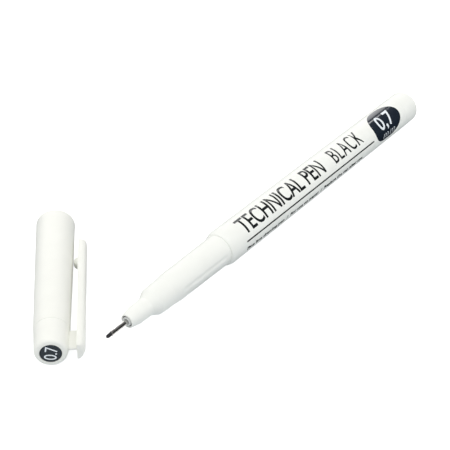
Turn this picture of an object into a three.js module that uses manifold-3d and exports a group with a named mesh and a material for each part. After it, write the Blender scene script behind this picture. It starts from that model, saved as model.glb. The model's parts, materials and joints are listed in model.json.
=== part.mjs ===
// A capped fine-line technical pen with its cap taken off and lying beside it.
// Millimetres, +Z up. The table is the plane z = 0, and the origin is the middle of the
// footprint. The pen and the cap are each turned about their own axis: the pen's distances
// are counted from the nib's tip, the cap's from its closed end.
import * as THREE from "three";
import { mergeVertices } from "three/addons/utils/BufferGeometryUtils.js";
import Module from "manifold-3d";

// ---- Driving dimensions: the pen -------------------------------------------------------
const NIB = { radius: 0.475, tip: 0.5, end: 16.2 };
const SLEEVE = { start: 1.5, end: 15.0, outer: 0.65, inner: 0.53, chamfer: 0.12 };
const COLLAR = { start: 7.4, end: 9.5, outer: 1.4, inner: 1.2, chamfer: 0.05 };
const HOLDER = { start: 6.95, bossEnd: 9.55, neckEnd: 12.9, flangeStart: 13.3, flangeEnd: 15.3,
  coneEnd: 18.4, end: 23.5, boss: 1.15, neck: 1.38, flange: 1.78, rear: 2.7, countersink: 0.12 };
const WICK = { start: 16.4, end: 34.0, radius: 1.0 };
const RESERVOIR = { start: 28.0, end: 118.0, radius: 3.0, socketDepth: 6.3 };
const FILM = { outer: 3.16, inner: 3.06, overhang: 0.4 };
const NOSE_START = 7.1;
const SHOULDER = 42.7;
const BARREL = { front: 4.8, rear: 4.69, bore: 3.9, drop: 0.5, ramp: 2.0, end: 128.0 };
const SPIGOT = { radius: 3.84, bore: 3.25, length: 8.0, chamfer: 0.4 };
const PLUG = { face: 134.5, edge: 0.8, spigotStart: 121.0, bore: 3.0, floor: 133.1 };
const GRIP = { front: 3.98, frontAt: 24.0, rear: 4.14 };
const GRIP_FLUTE = { count: 3, width: 1.1, start: 24.2, end: 41.4, depth: 0.1, angle: -10 };

// ---- Driving dimensions: the cap -------------------------------------------------------
const CAP = { length: 50.0, step: 7.7, stepRadius: 4.33, mouthRadius: 5.0, edge: 0.25,
  socket: 3.65, socketEnd: 14.2, bore: 3.95, boreStart: 14.6, mouthBore: 4.42, lip: 0.12 };
const CROWN = { radius: 3.9, stepRadius: 4.2, edge: 1.05, spigot: 3.6, spigotEnd: 14.0, bore: 2.85,
  floor: 2.2 };
const BADGE = { radius: 2.54, thickness: 0.6, gap: 0.06, sunk: 0.05 };
const SEAL = { start: 3.2, floor: 4.2, waistEnd: 12.4, lipStart: 13.2, end: 19.6, flangeStart: 14.3,
  flangeEnd: 15.2, waist: 2.2, lip: 2.45, shank: 2.75, skirt: 3.0, flange: 3.6 };
const CLIP = { start: 0.1, end: 40.8, width: 4.4, inner: 5.95, outerRoot: 7.9, outerEnd: 8.1,
  rootRound: 2.6, rootDrop: 1.3, endRound: 0.4, squareness: 3.0 };
const CLIP_NUB = { at: 33.4, radius: 1.6, width: 2.4, gap: 0.1 };
const CLIP_HINGE = { at: 7.7, gap: 0.3 };
const WEB = { start: 1.2, end: 7.4, thickness: 0.7, inner: 3.6, outer: 6.3 };

// ---- Layout on the table, in the frame of the cap's closed end ---------------------------
const CAP_HEADING = 90; // degrees from +X, from the closed end towards the mouth
const PEN_HEADING = 48.3; // degrees from +X, from the nib towards the tail
const NIB_TIP = { x: 12.75, y: 4.0 };

const ROUND = 48; // sides of the large turned pieces
const FINE = 24; // sides of the small ones
const ARC_STEPS = 4;
const CURVE_STEPS = 10;
const FIT_GAP = 0.05; // clearance left between pieces that are pressed together

const wasm = await Module();
wasm.setup();

// ---- Geometry helpers --------------------------------------------------------------------
const radians = THREE.MathUtils.degToRad;

// Points [radius, distance] along a quarter ellipse, from angle a to angle b in degrees.
function arc(centreRadius, centreAt, radius, length, a, b, steps = ARC_STEPS) {
  return Array.from({ length: steps + 1 }, (_, i) => {
    const angle = radians(a + ((b - a) * i) / steps);
    return [centreRadius + radius * Math.cos(angle), centreAt + length * Math.sin(angle)];
  });
}

// A turned solid piece: the profile runs from the axis, out, along and back to the axis.
function turned(profile, sides = ROUND) {
  return new THREE.LatheGeometry(profile.map(([r, y]) => new THREE.Vector2(r, y)), sides);
}

// A turned piece with a through hole: its outside from front to rear, then its inside.
function turnedRing(outside, inside, sides = ROUND) {
  return turned([...outside, ...inside.toReversed(), outside[0]], sides);
}

function toSolid(geometry) {
  const plain = geometry.clone().deleteAttribute("normal").deleteAttribute("uv");
  const merged = mergeVertices(plain);
  return new wasm.Manifold(new wasm.Mesh({
    numProp: 3,
    vertProperties: merged.attributes.position.array,
    triVerts: new Uint32Array(merged.index.array),
  }));
}

function toGeometry(solid) {
  const { vertProperties, triVerts } = solid.getMesh();
  const geometry = new THREE.BufferGeometry();
  geometry.setAttribute("position", new THREE.BufferAttribute(vertProperties, 3));
  geometry.setIndex(new THREE.BufferAttribute(triVerts, 1));
  geometry.computeVertexNormals();
  return geometry;
}

// A plate of even thickness, centred on the plane z = 0, with its outline in x and y.
function plate(outline, thickness) {
  const shape = new THREE.Shape(outline.map(([x, y]) => new THREE.Vector2(x, y)));
  const geometry = new THREE.ExtrudeGeometry(shape, { depth: thickness, bevelEnabled: false });
  return geometry.translate(0, 0, -thickness / 2);
}

function between(a, b, share) {
  return a + (b - a) * share;
}

// ---- Materials ---------------------------------------------------------------------------
const PLASTIC = {
  shell: { color: 0xf4f4f0, roughness: 0.38, metalness: 0 },
  inner: { color: 0xe6e8e6, roughness: 0.5, metalness: 0 },
  badge: { color: 0x2b333f, roughness: 0.35, metalness: 0 },
  collar: { color: 0x1c1e20, roughness: 0.45, metalness: 0 },
  film: { color: 0xdfe6ea, roughness: 0.3, metalness: 0 },
};
const STEEL = { color: 0x8f8f8c, roughness: 0.28, metalness: 1 };
const FIBRE = { color: 0x17181a, roughness: 0.9, metalness: 0 };

function piece(name, geometry, finish) {
  const mesh = new THREE.Mesh(geometry, new THREE.MeshStandardMaterial(finish));
  mesh.name = name;
  return mesh;
}

// ---- The pen's pieces --------------------------------------------------------------------
function fibreNib() {
  const tip = arc(0, NIB.tip, NIB.radius, NIB.tip, -90, 0);
  return turned([...tip, [NIB.radius, NIB.end], [0, NIB.end]], FINE);
}

function nibSleeve() {
  const { start, end, outer, inner, chamfer } = SLEEVE;
  const outside = [[outer - chamfer / 2, start], [outer, start + chamfer], [outer, end]];
  return turnedRing(outside, [[inner, start], [inner, end]], FINE);
}

function nibCollar() {
  const { start, end, outer, inner, chamfer } = COLLAR;
  const outside = [[outer - chamfer, start], [outer, start + chamfer], [outer, end]];
  return turnedRing(outside, [[inner, start], [inner, end]], FINE);
}

// The holder carries the sleeve in its boss and the wick behind. Its boss stands a little
// proud of the nose's rim, inside the dark collar.
function nibHolder() {
  const h = HOLDER;
  const sleeveBore = SLEEVE.outer + FIT_GAP;
  const wickBore = WICK.radius + FIT_GAP;
  const wickSeat = SLEEVE.end + FIT_GAP;
  const outside = [[h.boss, h.start], [h.boss, h.bossEnd], [h.neck, h.bossEnd],
    [h.neck, h.neckEnd], [h.flange, h.flangeStart], [h.flange, h.flangeEnd],
    [h.rear, h.coneEnd], [h.rear, h.end]];
  const inside = [[sleeveBore + h.countersink, h.start], [sleeveBore, h.start + h.countersink],
    [sleeveBore, wickSeat], [wickBore, wickSeat], [wickBore, h.end]];
  return turnedRing(outside, inside, ROUND);
}

function feedWick() {
  const { start, end, radius } = WICK;
  return turned([[0, start], [radius, start], [radius, end], [0, end]], FINE);
}

// The reservoir is a rod of fibres with a socket in its front end, where the wick enters.
function inkReservoir() {
  const { start, end, radius, socketDepth } = RESERVOIR;
  const socket = WICK.radius + FIT_GAP;
  return turned([[0, start + socketDepth], [socket, start + socketDepth], [socket, start],
    [radius, start], [radius, end], [0, end]]);
}

function reservoirFilm() {
  const start = RESERVOIR.start - FILM.overhang;
  const end = RESERVOIR.end + FILM.overhang;
  return turnedRing([[FILM.outer, start], [FILM.outer, end]],
    [[FILM.inner, start], [FILM.inner, end]]);
}

// The outside of the nose and grip, from the rim of the nose to the barrel's shoulder.
function frontSectionOutside() {
  const nose = [[1.62, NOSE_START], [1.8, 7.22], [2.0, 8.1], [2.22, 9.3], [2.34, 10.2],
    [2.38, 11.0], [2.38, 13.4]];
  const swell = [[2.47, 14.1], [2.66, 14.8], [3.02, 15.6], [3.36, 16.4], [3.56, 17.1],
    [3.65, 18.0], [3.67, 20.0], [3.75, 22.2], [3.92, 23.4]];
  return [...nose, ...swell, [GRIP.front, GRIP.frontAt], [GRIP.rear, SHOULDER - FIT_GAP]];
}

// The nose and grip, moulded in one, with the spigot that is pressed into the barrel.
function frontSection() {
  const spigotEnd = SHOULDER + SPIGOT.length;
  const face = SHOULDER - FIT_GAP;
  const outside = [...frontSectionOutside(), [SPIGOT.radius, face],
    [SPIGOT.radius, spigotEnd - SPIGOT.chamfer],
    [SPIGOT.radius - SPIGOT.chamfer / 2, spigotEnd]];
  const inside = [[1.45, NOSE_START], [1.45, 12.8], [1.85, 13.2], [1.85, 15.1], [2.78, 18.2],
    [2.78, 23.7], [SPIGOT.bore, 25.0], [SPIGOT.bore, spigotEnd]];
  const body = toSolid(turnedRing(outside, inside));
  const flutes = Array.from({ length: GRIP_FLUTE.count }, (_, i) => toSolid(gripFlute(i)));
  return toGeometry(flutes.reduce((whole, flute) => whole.subtract(flute), body));
}

// The space of one shallow flute that runs along the grip.
function gripFlute(index) {
  const { start, end, depth, width, count, angle } = GRIP_FLUTE;
  const outer = GRIP.rear + 1;
  const side = [[GRIP.front - depth, start], [outer, start], [outer, end],
    [GRIP.rear - depth, end]];
  const turn = radians(angle + (360 / count) * index);
  return plate(side, width).rotateY(turn);
}

function barrelRadius(at) {
  return between(BARREL.front, BARREL.rear, (at - SHOULDER) / (BARREL.end - SHOULDER));
}

function barrel() {
  const { front, rear, bore, drop, ramp, end } = BARREL;
  const outside = [...arc(front - drop, SHOULDER + ramp, drop, ramp, -90, 0), [rear, end]];
  return turnedRing(outside, [[bore, SHOULDER], [bore, end]]);
}

// The plug closes the barrel's tail. It is a cup whose open end faces the reservoir.
function endPlug() {
  const { face, edge, spigotStart, bore, floor } = PLUG;
  const collarStart = BARREL.end + FIT_GAP;
  const tail = barrelRadius(face);
  return turned([[0, floor], [bore, floor], [bore, spigotStart], [SPIGOT.radius, spigotStart],
    [SPIGOT.radius, collarStart], [BARREL.rear, collarStart],
    ...arc(tail - edge, face - edge, edge, edge, 0, 90), [0, face]]);
}

// ---- The cap's pieces --------------------------------------------------------------------
function capRadius(at) {
  return between(CAP.stepRadius, CAP.mouthRadius, (at - CAP.step) / (CAP.length - CAP.step));
}

function capTube() {
  const { length, step, stepRadius, mouthRadius, edge, socket, socketEnd, bore, boreStart,
    mouthBore, lip } = CAP;
  const outside = [...arc(stepRadius - edge, step + edge, edge, edge, -90, 0),
    [mouthRadius, length - lip], [mouthRadius - lip, length]];
  const inside = [[socket, step], [socket, socketEnd], [bore, boreStart],
    [mouthBore, length - lip], [mouthBore + lip, length]];
  return turnedRing(outside, inside);
}

// The crown closes the cap. Its end holds the badge, and the clip is moulded on its side.
function capCrown() {
  const { radius, stepRadius, edge, spigot, spigotEnd, bore, floor } = CROWN;
  const recess = BADGE.radius + BADGE.gap;
  const recessFloor = BADGE.sunk + BADGE.thickness + BADGE.gap;
  const turnedBody = turned([[0, recessFloor], [recess, recessFloor], [recess, 0],
    ...arc(radius - edge, edge, edge, edge, -90, 0), [stepRadius, CAP.step - FIT_GAP],
    [spigot, CAP.step - FIT_GAP], [spigot, spigotEnd], [bore, spigotEnd], [bore, floor],
    [0, floor]]);
  const web = plate([[WEB.inner, WEB.start], [WEB.outer, WEB.start],
    [WEB.outer, WEB.end], [WEB.inner, WEB.end]], WEB.thickness);
  const root = clipSolid(0, CLIP_HINGE.at - CLIP_HINGE.gap / 2);
  return toGeometry(toSolid(turnedBody).add(toSolid(web)).add(root));
}

function crownBadge() {
  const { radius, thickness, sunk } = BADGE;
  return turned([[0, sunk], [radius, sunk], [radius, sunk + thickness], [0, sunk + thickness]]);
}

// The inner seal is a soft cup that grips the nose's neck and keeps the nib moist.
function innerSeal() {
  const s = SEAL;
  return turned([[0, s.start], [s.shank, s.start], [s.shank, s.flangeStart],
    [s.flange, s.flangeStart], [s.flange, s.flangeEnd], [s.skirt, s.flangeEnd],
    [s.skirt, s.end], [s.lip, s.end], [s.lip, s.lipStart], [s.waist, s.waistEnd],
    [s.waist, s.floor], [0, s.floor]]);
}

// The clip seen from the side: straight inside, outside rounded over the crown.
function clipSide() {
  const { start, end, inner, outerRoot, outerEnd, rootRound, rootDrop, endRound } = CLIP;
  return [[inner, start],
    ...arc(outerRoot - rootDrop, start + rootRound, rootDrop, rootRound, -90, 0, CURVE_STEPS),
    ...arc(outerEnd - endRound, end - endRound, endRound, endRound, 0, 90),
    [inner, end]];
}

// The clip's cross-section, in x and z: a flat inside and a D-shaped outside, half of a
// superellipse.
function clipSection() {
  const { width, inner, outerEnd, squareness } = CLIP;
  const power = 2 / squareness;
  const steps = 2 * CURVE_STEPS;
  return Array.from({ length: steps + 1 }, (_, i) => {
    const angle = radians(between(-90, 90, i / steps));
    const x = inner + (outerEnd - inner) * Math.abs(Math.cos(angle)) ** power;
    return [x, (width / 2) * Math.sign(angle) * Math.abs(Math.sin(angle)) ** power];
  });
}

// The stretch of the clip between two distances along the cap, without its nub.
function clipSolid(from, to) {
  const side = toSolid(plate(clipSide(), CLIP.width * 2));
  const along = plate(clipSection().map(([x, z]) => [x, -z]), to - from);
  along.rotateX(Math.PI / 2).translate(0, (from + to) / 2, 0);
  return side.intersect(toSolid(along));
}

function clipArm() {
  const arm = clipSolid(CLIP_HINGE.at + CLIP_HINGE.gap / 2, CLIP.end + 1);
  const { at, radius, width, gap } = CLIP_NUB;
  const nub = new THREE.CylinderGeometry(radius, radius, width, FINE);
  nub.rotateX(Math.PI / 2).translate(capRadius(at) + gap + radius, at, 0);
  return toGeometry(arm.add(toSolid(nub)));
}

// ---- Assembly ----------------------------------------------------------------------------
// Lays a tapered body on the table, so that its lower edge touches from end to end. Each of
// a and b is a place along the axis with its radius.
function layDown(group, x, y, heading, a, b) {
  const slope = (b.radius - a.radius) / (b.at - a.at);
  const tilt = Math.atan(slope);
  group.position.set(x, y, (a.radius - slope * a.at) * Math.cos(tilt));
  group.rotation.set(tilt, 0, radians(heading - 90), "ZYX");
  return group;
}

const pen = new THREE.Group();
pen.add(
  piece("barrel", barrel(), PLASTIC.shell),
  piece("front_section", frontSection(), PLASTIC.shell),
  piece("end_plug", endPlug(), PLASTIC.shell),
  piece("nib_holder", nibHolder(), PLASTIC.inner),
  piece("nib_collar", nibCollar(), PLASTIC.collar),
  piece("nib_sleeve", nibSleeve(), STEEL),
  piece("fibre_nib", fibreNib(), FIBRE),
  piece("feed_wick", feedWick(), FIBRE),
  piece("ink_reservoir", inkReservoir(), FIBRE),
  piece("reservoir_film", reservoirFilm(), PLASTIC.film),
);
layDown(pen, NIB_TIP.x, NIB_TIP.y, PEN_HEADING,
  { at: SHOULDER, radius: BARREL.front }, { at: BARREL.end, radius: BARREL.rear });

const cap = new THREE.Group();
cap.add(
  piece("cap_tube", capTube(), PLASTIC.shell),
  piece("cap_crown", capCrown(), PLASTIC.shell),
  piece("crown_badge", crownBadge(), PLASTIC.badge),
  piece("inner_seal", innerSeal(), PLASTIC.inner),
  piece("clip_arm", clipArm(), PLASTIC.shell),
);
layDown(cap, 0, 0, CAP_HEADING,
  { at: CAP.step, radius: CAP.stepRadius }, { at: CAP.length, radius: CAP.mouthRadius });

const group = new THREE.Group();
group.add(pen, cap);

// The origin is the middle of the footprint, on the table.
group.updateMatrixWorld(true);
const extent = new THREE.Box3().setFromObject(group, true);
const middle = extent.getCenter(new THREE.Vector3());
group.position.set(-middle.x, -middle.y, -extent.min.z);

export default group;
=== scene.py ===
import bpy
import bmesh
import json
import math
from mathutils import Matrix, Vector


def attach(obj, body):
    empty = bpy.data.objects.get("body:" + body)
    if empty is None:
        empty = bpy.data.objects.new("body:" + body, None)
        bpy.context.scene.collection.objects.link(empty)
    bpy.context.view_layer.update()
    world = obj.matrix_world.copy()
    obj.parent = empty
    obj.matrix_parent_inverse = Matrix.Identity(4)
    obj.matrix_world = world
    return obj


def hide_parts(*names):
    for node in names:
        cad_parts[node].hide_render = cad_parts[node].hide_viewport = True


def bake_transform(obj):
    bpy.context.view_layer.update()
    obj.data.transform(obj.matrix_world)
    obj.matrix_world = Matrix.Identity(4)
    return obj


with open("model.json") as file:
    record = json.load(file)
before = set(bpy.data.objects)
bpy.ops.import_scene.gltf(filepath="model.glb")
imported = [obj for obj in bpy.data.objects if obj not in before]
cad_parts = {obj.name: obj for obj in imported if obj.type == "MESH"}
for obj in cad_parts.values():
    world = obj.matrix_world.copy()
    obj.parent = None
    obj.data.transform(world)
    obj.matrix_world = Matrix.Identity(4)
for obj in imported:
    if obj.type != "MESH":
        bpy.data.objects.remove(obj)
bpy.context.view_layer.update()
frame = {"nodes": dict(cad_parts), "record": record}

# A technical pen and its cap. Sizes are in millimetres along each piece's own axis, as a
# draughtsman would give them: the pen from its nib's tip, the cap from its closed end. MM
# turns them into the frame's metres.
MM = 0.001

# ---- Where the CAD model has put the pen and the cap -------------------------------------
PEN_LENGTH = 134.5
mounts = {mount["name"]: mount for mount in frame["record"]["mounts"]}


def local_frame(origin, along):
    """The frame of a turned piece: Y along its axis, Z up from the table, X to its right."""
    y = along.normalized()
    x = y.cross(Vector((0, 0, 1))).normalized()
    z = x.cross(y)
    return Matrix.Translation(origin) @ Matrix((x, y, z)).transposed().to_4x4()


pen_axis = Vector(mounts["pen_tail_face"]["axis"]).normalized()
nib_tip = Vector(mounts["pen_tail_face"]["pos_m"]) - pen_axis * PEN_LENGTH * MM
PEN = local_frame(nib_tip, pen_axis)

BADGE_SUNK = 0.05
cap_axis = -Vector(mounts["cap_end_face"]["axis"]).normalized()
cap_end = Vector(mounts["cap_end_face"]["pos_m"]) - cap_axis * BADGE_SUNK * MM
CAP = local_frame(cap_end, cap_axis)

# ---- Camera ------------------------------------------------------------------------------
CAMERA_FROM_CAP = Vector((20.85, -225.0, 195.2))
CAMERA_HEADING = math.radians(4.8)  # from +Y towards +X
CAMERA_PITCH = math.radians(34.92)  # below the horizon
SENSOR = 36.0
LENS = 102.72


def make_camera():
    data = bpy.data.cameras.new("camera")
    data.sensor_width = SENSOR
    data.lens = LENS
    data.clip_start = 0.01
    data.clip_end = 10
    camera = bpy.data.objects.new("camera", data)
    bpy.context.scene.collection.objects.link(camera)
    foot = Vector((cap_end.x, cap_end.y, 0))
    camera.location = foot + CAMERA_FROM_CAP * MM
    camera.rotation_euler = (math.pi / 2 - CAMERA_PITCH, 0, -CAMERA_HEADING)
    bpy.context.scene.camera = camera


make_camera()


# ---- Material nodes ----------------------------------------------------------------------
class Nodes:
    """A material's node tree with short ways to add what the materials below share."""

    def __init__(self, name):
        self.material = bpy.data.materials.new(name)
        self.material.use_nodes = True
        self.tree = self.material.node_tree
        self.shader = self.tree.nodes["Principled BSDF"]
        self.place = self.tree.nodes.new("ShaderNodeTexCoord").outputs["Object"]

    def link(self, out, into):
        self.tree.links.new(out, into)

    def noise(self, scale, detail=3.0, roughness=0.5):
        """Noise with the given number of features per millimetre."""
        node = self.tree.nodes.new("ShaderNodeTexNoise")
        node.inputs["Scale"].default_value = scale / MM
        node.inputs["Detail"].default_value = detail
        node.inputs["Roughness"].default_value = roughness
        self.link(self.place, node.inputs["Vector"])
        return node.outputs["Fac"]

    def ramp(self, fac, low, high, start=0.3, end=0.7):
        """A colour that runs from low to high as fac runs from start to end."""
        node = self.tree.nodes.new("ShaderNodeValToRGB")
        node.color_ramp.elements[0].position = start
        node.color_ramp.elements[0].color = (*low, 1)
        node.color_ramp.elements[1].position = end
        node.color_ramp.elements[1].color = (*high, 1)
        self.link(fac, node.inputs["Fac"])
        return node.outputs["Color"]

    def range(self, fac, low, high):
        """A number that runs from low to high as fac runs from 0 to 1."""
        node = self.tree.nodes.new("ShaderNodeMapRange")
        node.inputs["To Min"].default_value = low
        node.inputs["To Max"].default_value = high
        self.link(fac, node.inputs["Value"])
        return node.outputs["Result"]

    def bump(self, height, distance):
        """Relief as deep as the distance, in millimetres."""
        node = self.tree.nodes.new("ShaderNodeBump")
        node.inputs["Distance"].default_value = distance * MM
        self.link(height, node.inputs["Height"])
        self.link(node.outputs["Normal"], self.shader.inputs["Normal"])

    def set(self, **values):
        """Sets shader sockets by their names, with _ for a space."""
        for name, value in values.items():
            self.shader.inputs[name.replace("_", " ")].default_value = value


def moulded_plastic(name, low, high, roughness, grain=0.004, specular=0.5):
    """Moulded plastic: faint flow marks in the colour, uneven gloss and a fine skin."""
    n = Nodes(name)
    flow = n.noise(0.12, 4.0, 0.6)
    n.link(n.ramp(flow, low, high), n.shader.inputs["Base Color"])
    gloss = n.noise(0.7, 5.0, 0.65)
    n.link(n.range(gloss, roughness * 0.8, roughness * 1.2), n.shader.inputs["Roughness"])
    n.bump(n.noise(2.2, 2.0), grain)
    n.set(IOR=1.49, Specular_IOR_Level=specular)
    return n.material


WHITE = moulded_plastic("white_plastic", (0.88, 0.89, 0.845), (0.905, 0.915, 0.87), 0.4,
                        specular=0.12)
CAP_WHITE = moulded_plastic("cap_plastic", (0.885, 0.89, 0.835), (0.91, 0.915, 0.86), 0.42,
                            specular=0.12)
INNER_WHITE = moulded_plastic("inner_plastic", (0.74, 0.76, 0.74), (0.8, 0.81, 0.79), 0.42)
# Painted shade: near-black plastic for the ring that stands in for the shadowed gap in the nose.
GAP_SHADE_BLACK = moulded_plastic("painted_gap_shade", (0.012, 0.012, 0.014), (0.02, 0.02, 0.022), 0.35)
NAVY = moulded_plastic("badge_navy", (0.010, 0.016, 0.026), (0.013, 0.020, 0.032), 0.1, 0.001)
SLATE = moulded_plastic("disc_slate", (0.012, 0.020, 0.028), (0.016, 0.025, 0.034), 0.3, 0.001,
                        specular=0.2)
BLACK_INK = moulded_plastic("print_black", (0.008, 0.011, 0.012), (0.013, 0.016, 0.017), 0.14,
                            0.001)
WHITE_INK = moulded_plastic("print_white", (0.8, 0.86, 0.9), (0.86, 0.9, 0.93), 0.25)


def drawn_steel():
    """A drawn steel tube: bright, with fine drawing marks and a few ink stains."""
    n = Nodes("sleeve_steel")
    stain = n.noise(0.9, 4.0, 0.7)
    n.link(n.ramp(stain, (0.42, 0.41, 0.4), (0.7, 0.69, 0.67)), n.shader.inputs["Base Color"])
    n.link(n.range(n.noise(6.0, 3.0), 0.08, 0.2), n.shader.inputs["Roughness"])
    n.bump(n.noise(9.0, 2.0), 0.001)
    n.set(Metallic=1.0)
    return n.material


def inked_fibre():
    """Pressed fibre soaked in ink: near black, matt, with a fibrous grain."""
    n = Nodes("inked_fibre")
    grain = n.noise(14.0, 4.0, 0.7)
    colour = n.ramp(grain, (0.006, 0.006, 0.007), (0.022, 0.022, 0.025))
    n.link(colour, n.shader.inputs["Base Color"])
    n.link(n.range(grain, 0.35, 0.7), n.shader.inputs["Roughness"])
    n.bump(grain, 0.02)
    return n.material


def wrapped_film():
    """Thin plastic film, creased where it is wrapped round the reservoir."""
    n = Nodes("reservoir_film")
    crease = n.noise(0.5, 5.0, 0.7)
    n.link(n.ramp(crease, (0.5, 0.55, 0.6), (0.65, 0.7, 0.74)), n.shader.inputs["Base Color"])
    n.link(n.range(crease, 0.15, 0.3), n.shader.inputs["Roughness"])
    n.bump(crease, 0.03)
    n.set(IOR=1.5)
    return n.material


STEEL = drawn_steel()
FIBRE = inked_fibre()
FILM = wrapped_film()

# ---- Mesh helpers ------------------------------------------------------------------------
SIDES = 160
FILLET_STEPS = 7
SHARP_ANGLE = math.radians(40)
TINY = 1e-4


def rounded(corners, steps=FILLET_STEPS):
    """Points along a run of corners (a, b, fillet), with each fillet drawn as an arc."""
    points = []
    for i, (a, b, fillet) in enumerate(corners):
        corner = Vector((a, b))
        if fillet == 0 or i in (0, len(corners) - 1):
            points.append(corner)
            continue
        back = (Vector(corners[i - 1][:2]) - corner).normalized()
        ahead = (Vector(corners[i + 1][:2]) - corner).normalized()
        half = back.angle(ahead) / 2
        centre = corner + (back + ahead).normalized() * (fillet / math.sin(half))
        start = corner + back * (fillet / math.tan(half)) - centre
        end = corner + ahead * (fillet / math.tan(half)) - centre
        sweep = start.angle_signed(end)
        for k in range(steps + 1):
            points.append(centre + Matrix.Rotation(-sweep * k / steps, 2) @ start)
    return [(p.x, p.y) for p in points]


def new_object(name, mesh, place, material):
    """An object in the scene whose mesh is already in its place."""
    mesh.transform(place)
    mesh.materials.append(material)
    piece = bpy.data.objects.new(name, mesh)
    bpy.context.scene.collection.objects.link(piece)
    return piece


def finish_mesh(name, bm):
    """The bmesh as a smooth mesh in metres, with its faces out and its real edges sharp."""
    bmesh.ops.recalc_face_normals(bm, faces=bm.faces)
    bmesh.ops.scale(bm, vec=(MM, MM, MM), verts=bm.verts)
    mesh = bpy.data.meshes.new(name)
    bm.to_mesh(mesh)
    bm.free()
    mesh.shade_smooth()
    mesh.set_sharp_from_angle(angle=SHARP_ANGLE)
    return mesh


def revolve(name, profile, sides=SIDES, bulge=None):
    """A mesh turned about Y from (radius, distance) points. The profile closes on itself, or
    ends on the axis. bulge(turn, distance, radius) adds to it where the piece isn't round."""
    bm = bmesh.new()
    closed = (Vector(profile[0]) - Vector(profile[-1])).length < TINY
    rings = []
    for radius, at in profile[:-1] if closed else profile:
        if radius < TINY:
            rings.append([bm.verts.new((0, at, 0))] * sides)
            continue
        ring = []
        for k in range(sides):
            turn = 2 * math.pi * k / sides
            r = radius + (bulge(turn, at, radius) if bulge else 0)
            ring.append(bm.verts.new((r * math.sin(turn), at, r * math.cos(turn))))
        rings.append(ring)
    pairs = list(zip(rings, rings[1:]))
    if closed:
        pairs.append((rings[-1], rings[0]))
    for low, high in pairs:
        for k in range(sides):
            n = (k + 1) % sides
            corners = list(dict.fromkeys([low[k], low[n], high[n], high[k]]))
            if len(corners) > 2:
                bm.faces.new(corners)
    return finish_mesh(name, bm)


def add(name, mesh, place, material, body, slot, *nodes):
    """Places a piece, makes it ride on its body and stand for its CAD nodes."""
    piece = new_object(name, mesh, place, material)
    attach(piece, body)
    if nodes:
        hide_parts(*nodes)
    return piece


# ---- The pen's shell ---------------------------------------------------------------------
SEAM = 0.02  # the parting between two pieces that meet in the skin
FIT_GAP = 0.05  # the gap behind a piece that is pressed in
SHOULDER = 42.7
SHOULDER_DROP = 0.58
SHOULDER_RAMP = 2.0
SHOULDER_STEPS = 12
BARREL_END = 128.0
BARREL_FRONT = 4.8
BARREL_REAR = 4.69
BARREL_BORE = 3.9
SPIGOT_RADIUS = 3.84
PLUG_START = 121.0
PLUG_BORE = 3.0
PLUG_FLOOR = 133.1
TAIL_RADIUS = 4.683
TAIL_EDGE = 0.8


def barrel_radius(at):
    """The barrel's outer radius, which falls evenly towards the tail."""
    share = (at - SHOULDER) / (BARREL_END - SHOULDER)
    return BARREL_FRONT + (BARREL_REAR - BARREL_FRONT) * share


def barrel():
    """The barrel. At the shoulder its edge turns in along a quarter of an ellipse."""
    front = [(BARREL_BORE, SHOULDER)]
    for k in range(SHOULDER_STEPS + 1):
        angle = math.pi / 2 * k / SHOULDER_STEPS
        front.append((BARREL_FRONT - SHOULDER_DROP * (1 - math.sin(angle)),
                      SHOULDER + SHOULDER_RAMP * (1 - math.cos(angle))))
    rear = [
        (BARREL_FRONT, SHOULDER + SHOULDER_RAMP, 0), (BARREL_REAR, BARREL_END, 0.04),
        (BARREL_BORE, BARREL_END, 0.02), (BARREL_BORE, SHOULDER, 0),
    ]
    return revolve("barrel_shell", front + rounded(rear)[1:])


def end_plug():
    """The hollow plug that is pressed into the barrel's tail and closes it."""
    corners = [
        (0, PLUG_FLOOR, 0), (PLUG_BORE, PLUG_FLOOR, 0.4), (PLUG_BORE, PLUG_START, 0.1),
        (SPIGOT_RADIUS, PLUG_START, 0.15), (SPIGOT_RADIUS, BARREL_END + SEAM, 0),
        (BARREL_REAR, BARREL_END + SEAM, 0.04), (TAIL_RADIUS, PEN_LENGTH, TAIL_EDGE),
        (0, PEN_LENGTH, 0),
    ]
    return revolve("tail_plug", rounded(corners))


NOSE_START = 7.1
NOSE_BORE = 1.45
NOSE_BORE_END = 12.8
GRIP_REAR = 4.14
GRIP_END = SHOULDER - SEAM
SPIGOT_END = SHOULDER + 8.0
SPIGOT_BORE = 3.25
# Radius, distance from the nib's tip and fillet of each corner: the rim, the waisted nose, the
# grip and the spigot outside, then back along the bore.
NOSE = [
    (NOSE_BORE, NOSE_BORE_END, 0), (NOSE_BORE, NOSE_START, 0.12), (1.78, NOSE_START, 0.14),
    (2.0, 8.1, 1.2), (2.36, 10.0, 1.5), (2.42, 14.1, 0.8), (3.54, 16.35, 0.8),
    (3.67, 18.6, 2.0), (3.7, 21.2, 2.0), (3.96, 23.6, 2.0),
    (GRIP_REAR, GRIP_END, 0.02), (SPIGOT_RADIUS, GRIP_END, 0.02),
    (SPIGOT_RADIUS, SPIGOT_END, 0.2), (SPIGOT_BORE, SPIGOT_END, 0.05),
    (SPIGOT_BORE, 25.0, 0.3), (2.78, 23.7, 0.3), (2.78, 18.2, 0.3), (1.85, 15.1, 0.3),
    (1.85, 13.2, 0.1), (NOSE_BORE, NOSE_BORE_END, 0),
]
FLUTED_FROM = 3.9  # only the grip's outside is as far out as this
FLUTE_COUNT = 3
FLUTE_TURN = math.radians(80)
FLUTE_HALF_WIDTH = 0.8
FLUTE_DEPTH = 0.15
FLUTE_START = 24.0
FLUTE_END = 41.6
FLUTE_RUNOUT = 1.0


def smooth(share):
    """Eases from 0 to 1 as share does, and stays at 0 and 1 beyond."""
    share = min(1.0, max(0.0, share))
    return share * share * (3 - 2 * share)


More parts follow.
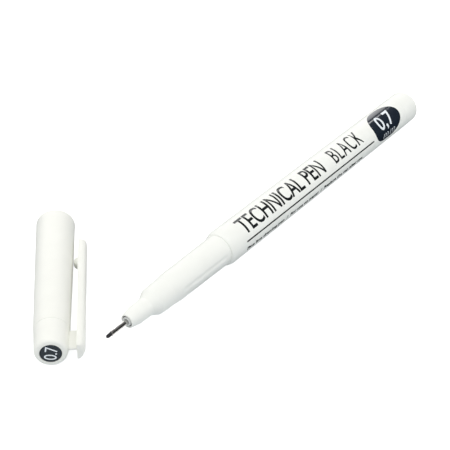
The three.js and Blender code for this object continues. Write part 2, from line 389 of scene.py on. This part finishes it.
def grip_flute(turn, at, radius):
    """How far the skin falls back in the grip's shallow flutes, which run out at both ends."""
    if radius < FLUTED_FROM or not FLUTE_START < at < FLUTE_END:
        return 0
    pitch = 2 * math.pi / FLUTE_COUNT
    away = abs((turn - FLUTE_TURN + pitch / 2) % pitch - pitch / 2) * radius
    if away > FLUTE_HALF_WIDTH:
        return 0
    across = (1 + math.cos(math.pi * away / FLUTE_HALF_WIDTH)) / 2
    ends = smooth((at - FLUTE_START) / FLUTE_RUNOUT) * smooth((FLUTE_END - at) / FLUTE_RUNOUT)
    return -FLUTE_DEPTH * across * ends


def spread(profile, step=0.7):
    """The profile with points added along its long stretches."""
    points = [profile[0]]
    for (r0, y0), (r1, y1) in zip(profile, profile[1:]):
        count = max(1, math.ceil(math.hypot(r1 - r0, y1 - y0) / step))
        points += [(r0 + (r1 - r0) * k / count, y0 + (y1 - y0) * k / count)
                   for k in range(1, count + 1)]
    return points


def front_section():
    """The nose and the grip in one moulding."""
    profile = spread(rounded(NOSE))
    return revolve("nose_and_grip", profile, sides=288, bulge=grip_flute)


add("barrel_shell", barrel(), PEN, WHITE, "pen", "white_shell", "barrel")
add("tail_plug", end_plug(), PEN, WHITE, "pen", "white_shell", "end_plug")
add("nose_and_grip", front_section(), PEN, WHITE, "pen", "white_shell", "front_section")


# ---- The nib -----------------------------------------------------------------------------
NIB_RADIUS = 0.475
NIB_END = 16.2
SLEEVE_RADIUS = 0.65
SLEEVE_BORE = 0.53
SLEEVE_MOUTH = 1.5
SLEEVE_MOUTH_BORE = 0.5
SLEEVE_END = 15.0
# Sizes of the near-black ring that paints the shade in the gap round the insert.
GAP_SHADE_RADIUS = 1.4
GAP_SHADE_BORE = 1.2
GAP_SHADE_START = 7.4
GAP_SHADE_END = 9.5
INSERT_BORE = 0.7
INSERT_START = 6.95
INSERT_BOSS = 1.15
INSERT_NECK = 1.38
INSERT_FLANGE = 1.78
INSERT_REAR = 2.7
INSERT_END = 23.5
WICK_BORE = 1.05


def nib_holder():
    """The insert in the nose. It holds the sleeve in front and the feed wick behind."""
    boss_end = GAP_SHADE_END + FIT_GAP
    wick_start = SLEEVE_END + FIT_GAP
    corners = [
        (INSERT_BORE, 12, 0), (INSERT_BORE, 7.1, 0.05), (0.84, INSERT_START, 0.04),
        (INSERT_BOSS, INSERT_START, 0.08), (INSERT_BOSS, boss_end, 0),
        (INSERT_NECK, boss_end, 0), (INSERT_NECK, 12.9, 0), (INSERT_FLANGE, 13.3, 0),
        (INSERT_FLANGE, 15.3, 0), (INSERT_REAR, 18.4, 0.3), (INSERT_REAR, INSERT_END, 0.1),
        (WICK_BORE, INSERT_END, 0.05), (WICK_BORE, wick_start, 0),
        (INSERT_BORE, wick_start, 0), (INSERT_BORE, 12, 0),
    ]
    return revolve("nib_insert", rounded(corners), sides=96)


def nib_collar():
    """A near-black ring between the insert and the nose's bore: painted shade for the shadowed
    gap there.
    """
    corners = [
        (GAP_SHADE_BORE, 8.5, 0), (GAP_SHADE_BORE, GAP_SHADE_START, 0.03),
        (GAP_SHADE_RADIUS, GAP_SHADE_START, 0.05), (GAP_SHADE_RADIUS, GAP_SHADE_END, 0.03),
        (GAP_SHADE_BORE, GAP_SHADE_END, 0), (GAP_SHADE_BORE, 8.5, 0),
    ]
    return revolve("gap_shade_ring", rounded(corners), sides=96)


def nib_sleeve():
    """A steel tube whose mouth is rolled in round the nib."""
    corners = [
        (SLEEVE_MOUTH_BORE, 3, 0), (SLEEVE_MOUTH_BORE, SLEEVE_MOUTH, 0.02),
        (0.56, SLEEVE_MOUTH, 0.03), (SLEEVE_RADIUS, SLEEVE_MOUTH + 0.25, 0.2),
        (SLEEVE_RADIUS, SLEEVE_END, 0.03), (SLEEVE_BORE, SLEEVE_END, 0), (SLEEVE_BORE, 3.2, 0),
        (SLEEVE_MOUTH_BORE, 3, 0),
    ]
    return revolve("steel_sleeve", rounded(corners), sides=72)


def fibre_nib():
    """The fibre rod, with its writing end rounded."""
    corners = [
        (0, 0, 0), (0.3, 0, 0.16), (NIB_RADIUS, 0.42, 0.4), (NIB_RADIUS, NIB_END, 0),
        (0, NIB_END, 0),
    ]
    return revolve("nib_tip", rounded(corners), sides=64)


add("nib_insert", nib_holder(), PEN, INNER_WHITE, "pen", "white_inner", "nib_holder")
# The near-black ring paints the shade in the shadowed gap round the insert.
add("gap_shade_ring", nib_collar(), PEN, GAP_SHADE_BLACK, "pen", "dark_collar", "nib_collar")
add("steel_sleeve", nib_sleeve(), PEN, STEEL, "pen", "nib_steel", "nib_sleeve")
add("nib_tip", fibre_nib(), PEN, FIBRE, "pen", "inked_fibre", "fibre_nib")

# ---- The cap -----------------------------------------------------------------------------
CAP_LENGTH = 50.0
CAP_STEP = 7.7
STEP_RADIUS = 4.33
MOUTH_RADIUS = 5.0
MOUTH_BORE = 4.42
CAP_BORE = (3.95, 4.0)
CAP_BORE_AT = (14.6, 20)
SOCKET_BORE = 3.65
SOCKET_END = 14.2
CROWN_RADIUS = 3.9
CROWN_EDGE = 1.0
CROWN_STEP_RADIUS = 4.27
CROWN_FACE = CAP_STEP - SEAM
CROWN_SPIGOT = 3.6
CROWN_SPIGOT_END = 14.0
CROWN_BORE = 2.85
CROWN_FLOOR = 2.2
RECESS_RADIUS = 2.6
RECESS_FLOOR = 0.71
DISC_RADIUS = 2.54
DISC_BACK = 0.65


def cap_radius(at):
    """The cap tube's outer radius, which grows evenly towards the mouth."""
    return STEP_RADIUS + (MOUTH_RADIUS - STEP_RADIUS) * (at - CAP_STEP) / (CAP_LENGTH - CAP_STEP)


def cap_tube():
    """The cap's tapered tube, with a narrower socket for the crown's spigot."""
    corners = [
        (CAP_BORE[1], CAP_BORE_AT[1], 0), (CAP_BORE[0], CAP_BORE_AT[0], 0),
        (SOCKET_BORE, SOCKET_END, 0), (SOCKET_BORE, CAP_STEP, 0.05),
        (STEP_RADIUS, CAP_STEP, 0.06), (MOUTH_RADIUS, CAP_LENGTH, 0.22),
        (MOUTH_BORE, CAP_LENGTH, 0.15), (CAP_BORE[1], CAP_BORE_AT[1], 0),
    ]
    return revolve("cap_shell", rounded(corners))


def cap_crown():
    """The cap's closed end, with a recess for the disc and a hollow spigot."""
    corners = [
        (0, RECESS_FLOOR, 0), (RECESS_RADIUS, RECESS_FLOOR, 0), (RECESS_RADIUS, 0, 0.05),
        (CROWN_RADIUS, 0, CROWN_EDGE), (CROWN_STEP_RADIUS, CROWN_FACE, 0.02),
        (CROWN_SPIGOT, CROWN_FACE, 0), (CROWN_SPIGOT, CROWN_SPIGOT_END, 0.1),
        (CROWN_BORE, CROWN_SPIGOT_END, 0.05), (CROWN_BORE, CROWN_FLOOR, 0.5),
        (0, CROWN_FLOOR, 0),
    ]
    return revolve("crown", rounded(corners))


WEB_START = 1.2
WEB_END = 7.4
WEB_HALF = 0.35
WEB_FILLET = 0.35
WEB_END_FLARE = 0.6  # how much of the flare the web has at its closed end
WEB_CLEAR = 0.1
WEB_ROOTS = (3.6, 3.95, 6.0, 6.3)  # inside the crown, its skin, the clip's skin, inside the clip
WEB_STEPS = 24


def web():
    """The thin wall that carries the clip. It flares into the crown and into the clip."""
    inner, crown_face, clip_face, outer = WEB_ROOTS
    bm = bmesh.new()
    rings = []
    for k in range(WEB_STEPS + 1):
        x = inner + (outer - inner) * k / WEB_STEPS
        near = max(0.0, min(x - crown_face, clip_face - x))
        share = max(0.0, 1 - near / WEB_FILLET)
        flare = WEB_FILLET * (1 - math.sqrt(1 - share * share))
        half = WEB_HALF + flare
        low = WEB_START - flare * WEB_END_FLARE
        high = min(WEB_END + flare, CAP_STEP - WEB_CLEAR)
        section = rounded([
            (low + 1, half, 0), (high, half, 0.1), (high, -half, 0.1),
            (low, -half, 0.25), (low, half, 0.25), (low + 1, half, 0),
        ], steps=4)
        rings.append([bm.verts.new((x, y, z)) for y, z in section[:-1]])
    bridge(bm, rings)
    return finish_mesh("web", bm)


def bridge(bm, rings):
    """Closes a row of rings into one skin with a face on each end."""
    count = len(rings[0])
    for low, high in zip(rings, rings[1:]):
        for k in range(count):
            n = (k + 1) % count
            bm.faces.new([low[k], low[n], high[n], high[k]])
    bm.faces.new(rings[0][::-1])
    bm.faces.new(rings[-1])


def united(name, first, second):
    """Two closed meshes as one, without the faces that are inside."""
    base = bpy.data.objects.new(name, first)
    other = bpy.data.objects.new("other", second)
    for piece in (base, other):
        bpy.context.scene.collection.objects.link(piece)
    join = base.modifiers.new("join", "BOOLEAN")
    join.operation = "UNION"
    join.solver = "EXACT"
    join.object = other
    depsgraph = bpy.context.evaluated_depsgraph_get()
    mesh = bpy.data.meshes.new_from_object(base.evaluated_get(depsgraph))
    for piece in (base, other):
        bpy.data.objects.remove(piece)
    mesh.shade_smooth()
    mesh.set_sharp_from_angle(angle=SHARP_ANGLE)
    return mesh


def crown_badge():
    """The dark disc that lies in the crown's recess, sunk a little below its rim."""
    corners = [
        (0, BADGE_SUNK, 0), (DISC_RADIUS, BADGE_SUNK, 0.06), (DISC_RADIUS, DISC_BACK, 0.03),
        (0, DISC_BACK, 0),
    ]
    return revolve("crown_disc", rounded(corners), sides=96)


SEAL_START = 3.2
SEAL_FLOOR = 4.2
SEAL_END = 19.6
SEAL_SHANK = 2.75
SEAL_FLANGE = 3.6
SEAL_FLANGE_START = 14.3
SEAL_FLANGE_END = 15.2
SEAL_SKIRT = 3.0
SEAL_LIP = 2.45
SEAL_LIP_START = 13.2
SEAL_WAIST = 2.2
SEAL_WAIST_END = 12.4


def inner_seal():
    """The soft cup inside the cap, flanged where the crown's spigot holds it."""
    corners = [
        (0, SEAL_START, 0), (SEAL_SHANK, SEAL_START, 0.5),
        (SEAL_SHANK, SEAL_FLANGE_START, 0.05), (SEAL_FLANGE, SEAL_FLANGE_START, 0.1),
        (SEAL_FLANGE, SEAL_FLANGE_END, 0.1), (SEAL_SKIRT, SEAL_FLANGE_END, 0.2),
        (SEAL_SKIRT, SEAL_END, 0.15), (SEAL_LIP, SEAL_END, 0.2), (SEAL_LIP, SEAL_LIP_START, 0.3),
        (SEAL_WAIST, SEAL_WAIST_END, 0.3), (SEAL_WAIST, SEAL_FLOOR, 0.6), (0, SEAL_FLOOR, 0),
    ]
    return revolve("seal_cup", rounded(corners), sides=96)


add("cap_shell", cap_tube(), CAP, CAP_WHITE, "cap", "white_shell", "cap_tube")
add("crown_disc", crown_badge(), CAP, SLATE, "cap", "navy_badge", "crown_badge")
add("seal_cup", inner_seal(), CAP, INNER_WHITE, "cap", "white_inner", "inner_seal")

# ---- The clip ----------------------------------------------------------------------------
CLIP_START = 0.1
CLIP_END = 40.8
CLIP_HALF_WIDTH = 2.2
CLIP_INNER = 5.95
CLIP_OUTER = (7.9, 8.1)
SECTION_POWER = 3.0
SECTION_STEPS = 36
CLIP_STATIONS = 150
ROOT_STATIONS = 12
END_STATIONS = 8
ROOT_ROUND = (1.2, 2.4)
END_ROUND = (0.35, 0.35)
SIDE_ROUND = (0.25, 0.3)
NUB_AT = 33.4
NUB_RADIUS = 1.6
NUB_GAP = 0.1
NUB_HALF_WIDTH = 1.3
NUB_EDGE = 0.9


def between(pair, share):
    """The value part of the way from the first to the second."""
    return pair[0] + (pair[1] - pair[0]) * share


def ease_in(distance, rounding):
    """How far a rounded end falls back, at a distance from the end."""
    across, along = rounding
    if distance >= along:
        return 0
    return across * (1 - math.sqrt(1 - (1 - distance / along) ** 2))


def clip():
    """The clip as a loft of D-shaped sections: flat towards the cap, crowned outside."""
    length = CLIP_END - CLIP_START
    stations = [CLIP_START + length * k / CLIP_STATIONS for k in range(CLIP_STATIONS + 1)]
    stations += [CLIP_START + ROOT_ROUND[1] * (k / ROOT_STATIONS) ** 2
                 for k in range(1, ROOT_STATIONS)]
    stations += [CLIP_END - END_ROUND[1] * (k / END_STATIONS) ** 2
                 for k in range(1, END_STATIONS)]
    power = 2 / SECTION_POWER
    bm = bmesh.new()
    rings = []
    for at in sorted(stations):
        outer = between(CLIP_OUTER, at / CLIP_END)
        outer -= ease_in(at - CLIP_START, ROOT_ROUND) + ease_in(CLIP_END - at, END_ROUND)
        side = ease_in(at - CLIP_START, SIDE_ROUND) + ease_in(CLIP_END - at, SIDE_ROUND)
        half = CLIP_HALF_WIDTH - side
        ring = []
        for k in range(SECTION_STEPS + 1):
            angle = math.pi * k / SECTION_STEPS - math.pi / 2
            c, s = math.cos(angle), math.sin(angle)
            x = CLIP_INNER + (outer - CLIP_INNER) * abs(c) ** power
            z = half * math.copysign(abs(s) ** power, s)
            ring.append(bm.verts.new((x, at, z)))
        rings.append(ring)
    bridge(bm, rings)
    return finish_mesh("clip_bar", bm)


def nub():
    """The round nub under the clip's free end, which holds a pocket's edge."""
    corners = [
        (0, -NUB_HALF_WIDTH, 0), (NUB_RADIUS, -NUB_HALF_WIDTH, NUB_EDGE),
        (NUB_RADIUS, NUB_HALF_WIDTH, NUB_EDGE), (0, NUB_HALF_WIDTH, 0),
    ]
    mesh = revolve("nub", rounded(corners), sides=64)
    centre = Vector((cap_radius(NUB_AT) + NUB_GAP + NUB_RADIUS, NUB_AT, 0)) * MM
    mesh.transform(Matrix.Translation(centre) @ Matrix.Rotation(math.pi / 2, 4, "X"))
    return mesh


crown_mesh = united("crown", cap_crown(), web())
add("crown", crown_mesh, CAP, CAP_WHITE, "cap", "white_shell", "cap_crown")
clip_piece = new_object("clip", united("clip", clip(), nub()), CAP, CAP_WHITE)
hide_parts("clip_arm")
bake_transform(clip_piece)

# ---- Print -------------------------------------------------------------------------------
PRINT_RAISED = 0.012
PRINT_DEPTH = 0.05
PRINT_OVER = 0.012  # how far white print stands above the badge under it
SLICE = 0.25


def font_mesh(words, thin, slant, spacing):
    """Words in the built-in font as a flat mesh, in the font's own units."""
    text = bpy.data.curves.new("words", "FONT")
    text.body = words
    text.offset = -thin
    text.shear = slant
    text.space_character = spacing
    text.resolution_u = 5
    holder = bpy.data.objects.new("words", text)
    bpy.context.scene.collection.objects.link(holder)
    depsgraph = bpy.context.evaluated_depsgraph_get()
    mesh = bpy.data.meshes.new_from_object(holder.evaluated_get(depsgraph))
    bpy.data.objects.remove(holder)
    return mesh


def flat_text(words, length, height, thin=0.0, weight=0.0, slant=0.0, spacing=1.0):
    """Words as a flat bmesh in millimetres, from (0, 0) to (length, height). The letters are
    thinned, squeezed to the length, and then thickened by the weight, so that their upright
    strokes keep their width."""
    mesh = font_mesh(words, thin, slant, spacing)
    low = Vector(map(min, zip(*(v.co for v in mesh.vertices))))
    high = Vector(map(max, zip(*(v.co for v in mesh.vertices))))
    bm = bmesh.new()
    bm.from_mesh(mesh)
    bmesh.ops.remove_doubles(bm, verts=bm.verts, dist=1e-5)
    for v in bm.verts:
        v.co.x = weight + (v.co.x - low.x) / (high.x - low.x) * (length - 2 * weight)
        v.co.y = weight + (v.co.y - low.y) / (high.y - low.y) * (height - 2 * weight)
        v.co.z = 0
    return thickened(bm, weight)


def thickened(bm, weight):
    """Moves a flat bmesh's outline outwards by the weight, with its corners kept sharp."""
    moves = []
    for v in bm.verts:
        outward = []
        for edge in v.link_edges:
            if not edge.is_boundary:
                continue
            along = edge.verts[1].co - edge.verts[0].co
            normal = Vector((along.y, -along.x, 0)).normalized()
            inside = edge.link_faces[0].calc_center_median() - edge.verts[0].co
            outward.append(-normal if normal.dot(inside) > 0 else normal)
        if len(outward) == 2:
            both = outward[0] + outward[1]
            moves.append((v, both * weight / max(0.5, 1 + outward[0].dot(outward[1]))))
    for v, move in moves:
        v.co += move
    return bm


def sliced(bm, step=SLICE):
    """Cuts a flat bmesh into narrow strips along X, so that it can bend round a barrel."""
    low, high = min(v.co.y for v in bm.verts), max(v.co.y for v in bm.verts)
    count = max(1, round((high - low) / step))
    for k in range(1, count):
        everything = bm.verts[:] + bm.edges[:] + bm.faces[:]
        level = low + (high - low) * k / count
        bmesh.ops.bisect_plane(bm, geom=everything, plane_co=(0, level, 0), plane_no=(0, 1, 0))
    return bm


def with_depth(bm, bend):
    """A flat bmesh as a thin closed layer of print: bend(x, y, raised) places each point."""
    base = [(v, v.co.copy()) for v in bm.verts]
    made = bmesh.ops.extrude_face_region(bm, geom=bm.faces[:], use_keep_orig=True)
    for element in made["geom"]:
        if isinstance(element, bmesh.types.BMVert):
            element.co = bend(element.co.x, element.co.y, PRINT_RAISED)
    for v, co in base:
        v.co = bend(co.x, co.y, PRINT_RAISED - PRINT_DEPTH)
    # The extrusion adds its faces in no fixed order, so they are sorted by place.
    by_place = sorted(bm.faces, key=lambda face: face.calc_center_median().to_tuple(6))
    rank = {face: k for k, face in enumerate(by_place)}
    bm.faces.sort(key=rank.get)
    return bm


def wrapped(name, bm, start, turn, lift):
    """Prints a flat bmesh on the barrel: X runs towards the tail from start, Y runs up the
    side from the given turn in degrees, which is counted from the top towards the right."""
    def bend(x, y, raised):
        at = start + x
        radius = barrel_radius(at)
        angle = math.radians(turn) - y / radius
        r = radius + raised + lift
        return Vector((r * math.sin(angle), at, r * math.cos(angle)))

    return finish_mesh(name, with_depth(sliced(bm), bend))


def flat_badge(half_length, half_width, corner_power, sides=144):
    """An oval with one squared corner, at its nib end and lower side."""
    bm = bmesh.new()
    outline = []
    for k in range(sides):
        angle = 2 * math.pi * k / sides
        c, s = math.cos(angle), math.sin(angle)
        power = 2 / corner_power if c < 0 and s < 0 else 1
        x = half_length * math.copysign(abs(c) ** power, c)
        y = half_width * math.copysign(abs(s) ** power, s)
        outline.append(bm.verts.new((x, y, 0)))
    bm.faces.new(outline)
    return bm


def flat_bar(length, height):
    """A plain bar, from (0, 0) to (length, height)."""
    bm = bmesh.new()
    corners = [(0, 0, 0), (length, 0, 0), (length, height, 0), (0, height, 0)]
    bm.faces.new([bm.verts.new(corner) for corner in corners])
    return bm


def print_on_pen(name, bm, material, start, turn, lift=0.0):
    """Adds a flat bmesh to the pen as a piece of print, wrapped round the barrel."""
    add(name, wrapped(name, bm, start, turn, lift), PEN, material, "pen", "navy_badge")


TITLE = flat_text("TECHNICAL PEN", 37.4, 5.0, thin=0.012, weight=0.16, spacing=0.99)
GRADE = flat_text("BLACK", 14.4, 4.9, thin=0.02, weight=0.15, spacing=1.16)
RULE = flat_bar(61.3, 0.42)
SMALL_PRINT = "Fine line drawing pen  /  For use on paper  /  Replace the cap after use"
NOTES = flat_text(SMALL_PRINT, 55.1, 1.3, weight=0.08)
BADGE = flat_badge(half_length=7.0, half_width=5.1, corner_power=3.4)
DIGITS = flat_text("0,7", 7.4, 5.2, thin=0.01, weight=0.14, spacing=1.08)
UNIT = flat_text("mm", 6.3, 1.35, thin=0.02, slant=0.35, spacing=1.25)

print_on_pen("print_title", TITLE, BLACK_INK, start=48.9, turn=54.8)
print_on_pen("print_grade", GRADE, BLACK_INK, start=91.1, turn=54.3)
print_on_pen("print_rule", RULE, BLACK_INK, start=48.6, turn=78.0)
print_on_pen("print_notes", NOTES, BLACK_INK, start=48.6, turn=111.0)
print_on_pen("barrel_badge", BADGE, NAVY, start=118.35, turn=40.0)
print_on_pen("print_digits", DIGITS, WHITE_INK, start=114.35, turn=71.5, lift=PRINT_OVER)
print_on_pen("print_unit", UNIT, WHITE_INK, start=114.9, turn=95.0, lift=PRINT_OVER)


def crown_digits(length, height, lean):
    """The size on the cap's end disc, reading up the face at the given lean."""
    bm = flat_text("0.7", length, height, thin=0.03, weight=0.1, spacing=0.92)

    def bend(x, y, raised):
        u, v = x - length / 2, y - height / 2
        across = u * math.cos(lean) - v * math.sin(lean)
        up = u * math.sin(lean) + v * math.cos(lean)
        return Vector((across, BADGE_SUNK - raised, up))

    return finish_mesh("crown_digits", with_depth(bm, bend))


CROWN_DIGITS = crown_digits(length=3.7, height=2.9, lean=math.radians(81))
add("crown_digits", CROWN_DIGITS, CAP, WHITE_INK, "cap", "navy_badge")

# ---- The hidden CAD pieces keep their shape and get their materials ------------------------
for node, material in (("feed_wick", FIBRE), ("ink_reservoir", FIBRE), ("reservoir_film", FILM)):
    frame["nodes"][node].data.materials.clear()
    frame["nodes"][node].data.materials.append(material)


# ---- Table and light ---------------------------------------------------------------------
TABLE_REACH = 3.0
TABLE_GLOW = 0.65
BOUNCE_LEVEL = -0.0002
CARD_REACH = 0.022
CARD_LEVEL = -0.0001
CARD_GLOW = 0.5


def paper(name, low, high, glow):
    """Matt paper, faintly clouded, which glows by itself as strongly as given."""
    n = Nodes(name)
    n.link(n.ramp(n.noise(0.02), low, high), n.shader.inputs["Base Color"])
    n.set(Roughness=0.9, Specular_IOR_Level=0.1)
    n.set(Emission_Color=(1, 1, 1, 1), Emission_Strength=glow)
    n.material.cycles.emission_sampling = "NONE"
    return n.material


def sheet(name, reach, centre, material):
    """A square sheet that reaches equally far from its centre on all sides."""
    mesh = bpy.data.meshes.new(name)
    corners = [(-reach, -reach, 0), (reach, -reach, 0), (reach, reach, 0), (-reach, reach, 0)]
    mesh.from_pydata(corners, [], [(0, 1, 2, 3)])
    return new_object(name, mesh, Matrix.Translation(centre), material)


def table():
    """A light table. What the camera sees glows a little, so that shadows stay faint, and
    what lights the pen from below is plain paper."""
    seen_paper = paper("table_paper", (0.9, 0.9, 0.9), (0.92, 0.92, 0.92), TABLE_GLOW)
    seen = sheet("table", TABLE_REACH, (0, 0, 0), seen_paper)
    seen.visible_diffuse = False
    seen.visible_glossy = False
    seen.visible_shadow = False
    bounce_paper = paper("bounce_paper", (0.6, 0.64, 0.68), (0.62, 0.66, 0.7), 0)
    under = sheet("table_bounce", TABLE_REACH, (0, 0, BOUNCE_LEVEL), bounce_paper)
    under.visible_camera = False
    under.visible_glossy = False
    return seen, under


def nib_card():
    """A small bright card under the nib that is only mirrored, so the sleeve's edge shows."""
    card_paper = paper("card_paper", (0.8, 0.8, 0.8), (0.82, 0.82, 0.82), CARD_GLOW)
    card = sheet("nib_card", CARD_REACH, (nib_tip.x, nib_tip.y, CARD_LEVEL), card_paper)
    card.visible_camera = False
    card.visible_diffuse = False
    card.visible_shadow = False
    return card


def direction(azimuth, elevation):
    """A unit vector: azimuth counts from +Y towards +X, elevation from the horizon."""
    a, e = math.radians(azimuth), math.radians(elevation)
    return Vector((math.sin(a) * math.cos(e), math.cos(a) * math.cos(e), math.sin(e)))


def softbox(name, azimuth, elevation, away, size, radiance):
    """A rectangular light that faces the pen, as bright as it looks from there."""
    data = bpy.data.lights.new(name, "AREA")
    data.shape = "RECTANGLE"
    data.size, data.size_y = size
    data.energy = radiance * math.pi * size[0] * size[1]
    light = bpy.data.objects.new(name, data)
    bpy.context.scene.collection.objects.link(light)
    toward = direction(azimuth, elevation)
    light.location = toward * away
    light.rotation_euler = toward.to_track_quat("Z", "Y").to_euler()
    return light


def fill(name, **placing):
    """A softbox that the glossy print and the steel don't mirror."""
    softbox(name, **placing).visible_glossy = False


def bright_card(name, **placing):
    """A softbox that is only mirrored."""
    softbox(name, **placing).visible_diffuse = False


SKY_LEFT = 0.95
SKY_RIGHT = 0.06
SKY_DARK_FROM = 0.8
SKY_BELOW = 0.25
HORIZON_BLUR = 0.03


def sky():
    """White card round the studio: brighter on the left, dark on the right and below."""
    world = bpy.data.worlds.new("studio")
    bpy.context.scene.world = world
    world.use_nodes = True
    tree = world.node_tree
    tree.nodes["Background"].inputs["Color"].default_value = (1, 1, 1, 1)
    split = tree.nodes.new("ShaderNodeSeparateXYZ")
    tree.links.new(tree.nodes.new("ShaderNodeTexCoord").outputs["Generated"], split.inputs[0])
    across = tree.nodes.new("ShaderNodeMapRange")
    across.inputs["From Min"].default_value = -1
    across.inputs["From Max"].default_value = SKY_DARK_FROM
    across.inputs["To Min"].default_value = SKY_LEFT
    across.inputs["To Max"].default_value = SKY_RIGHT
    tree.links.new(split.outputs["X"], across.inputs["Value"])
    height = tree.nodes.new("ShaderNodeMapRange")
    height.inputs["From Min"].default_value = -HORIZON_BLUR
    height.inputs["From Max"].default_value = HORIZON_BLUR
    height.inputs["To Min"].default_value = SKY_BELOW
    tree.links.new(split.outputs["Z"], height.inputs["Value"])
    product = tree.nodes.new("ShaderNodeMath")
    product.operation = "MULTIPLY"
    tree.links.new(across.outputs["Result"], product.inputs[0])
    tree.links.new(height.outputs["Result"], product.inputs[1])
    tree.links.new(product.outputs["Value"], tree.nodes["Background"].inputs["Strength"])


def studio():
    """Soft light from all sides. The cards draw the sheen on the print, on the sleeve and on
    the sleeve's rolled mouth."""
    sky()
    bright_card("back_card", azimuth=-8, elevation=17, away=1.2, size=(1.4, 0.72), radiance=2.2)
    bright_card("edge_card", azimuth=16, elevation=38.5, away=1.2, size=(0.5, 0.04), radiance=9.0)
    bright_card("front_card", azimuth=176, elevation=40, away=1.4, size=(0.6, 0.6), radiance=3.0)
    fill("fill_top", azimuth=0, elevation=90, away=1.4, size=(1.4, 1.4), radiance=1.12)
    fill("fill_left", azimuth=-95, elevation=30, away=1.4, size=(1.4, 1.2), radiance=0.25)
    fill("fill_front", azimuth=180, elevation=35, away=1.4, size=(1.4, 1.2), radiance=0.85)
    fill("fill_right", azimuth=88, elevation=37, away=1.4, size=(1.4, 1.2), radiance=1.75)
    bpy.context.scene.view_settings.view_transform = "Standard"


seen, under = table()
card = nib_card()
studio()
